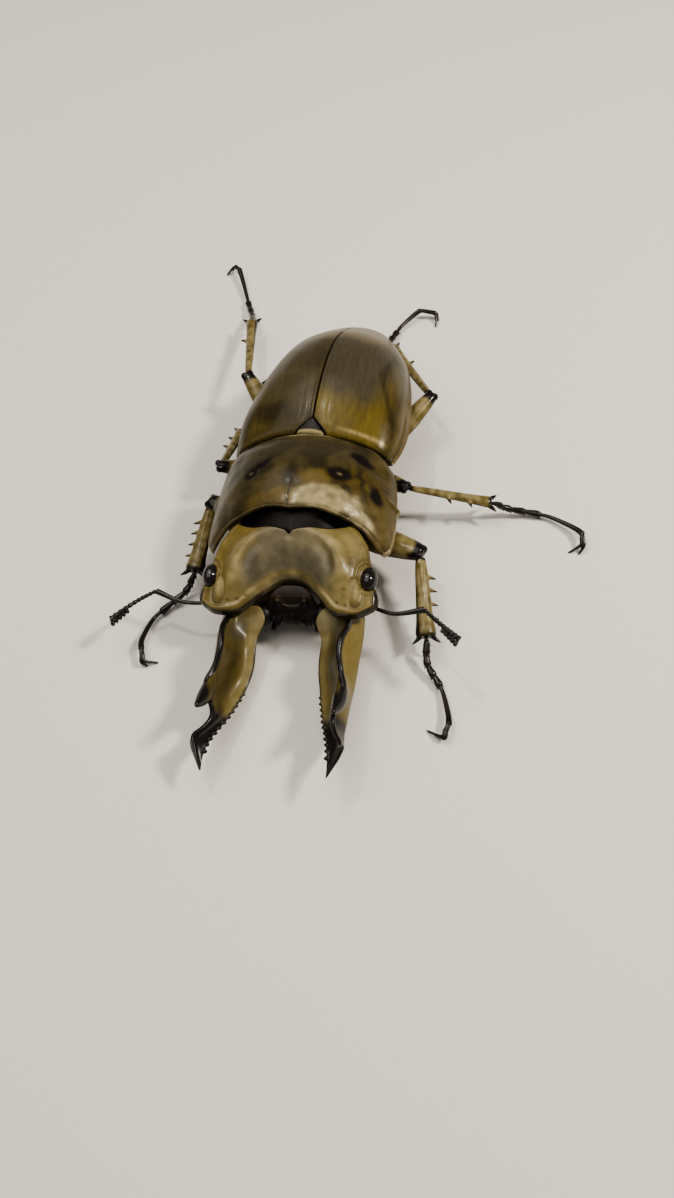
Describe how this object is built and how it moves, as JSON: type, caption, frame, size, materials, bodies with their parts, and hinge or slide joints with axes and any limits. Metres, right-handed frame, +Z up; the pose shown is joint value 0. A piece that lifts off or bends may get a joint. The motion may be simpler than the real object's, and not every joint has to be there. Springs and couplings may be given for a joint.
{
  "type": "golden stag beetle",
  "caption": "Golden stag beetle in mid step, long toothed mandibles open and legs spread, a still life-size display model that stands on its feet.",
  "frame": {"origin": "centre of the part's box in plan, on the floor that the feet stand on", "axes": "+Z up, -Y the way the beetle faces, +X towards its left side"},
  "size_m": [0.0598, 0.0912, 0.0163],
  "materials": {
    "gold_shell": "glossy",
    "gold_limb": "glossy",
    "black_shell": "glossy",
    "brown_mouth": "glossy",
    "belly": "satin"
  },
  "bodies": {
    "root": {"abdomen": "belly", "antenna_left_club": "black_shell", "antenna_left_scape": "black_shell", "antenna_right_club": "black_shell", "antenna_right_scape": "black_shell", "eye_left": "black_shell", "eye_right": "black_shell", "head": "gold_shell", "leg_front_left_coxa": "black_shell", "leg_front_left_femur": "gold_limb", "leg_front_left_tarsus": "black_shell", "leg_front_left_tibia": "gold_limb", "leg_front_right_coxa": "black_shell", "leg_front_right_femur": "gold_limb", "leg_front_right_tarsus": "black_shell", "leg_front_right_tibia": "gold_limb", "leg_hind_left_coxa": "black_shell", "leg_hind_left_femur": "gold_limb", "leg_hind_left_tarsus": "black_shell", "leg_hind_left_tibia": "gold_limb", "leg_hind_right_coxa": "black_shell", "leg_hind_right_femur": "gold_limb", "leg_hind_right_tarsus": "black_shell", "leg_hind_right_tibia": "gold_limb", "leg_middle_left_coxa": "black_shell", "leg_middle_left_femur": "gold_limb", "leg_middle_left_tarsus": "black_shell", "leg_middle_left_tibia": "gold_limb", "leg_middle_right_coxa": "black_shell", "leg_middle_right_femur": "gold_limb", "leg_middle_right_tarsus": "black_shell", "leg_middle_right_tibia": "gold_limb", "mandible_left": "gold_limb", "mandible_right": "gold_limb", "mouth": "brown_mouth", "occiput": "black_shell", "palp_left": "black_shell", "palp_right": "black_shell", "pronotum": "gold_shell", "prosternum": "belly", "rear_thorax": "belly", "scutellum": "black_shell", "wing_case_left": "gold_shell", "wing_case_right": "gold_shell"}
  },
  "joints": []
}
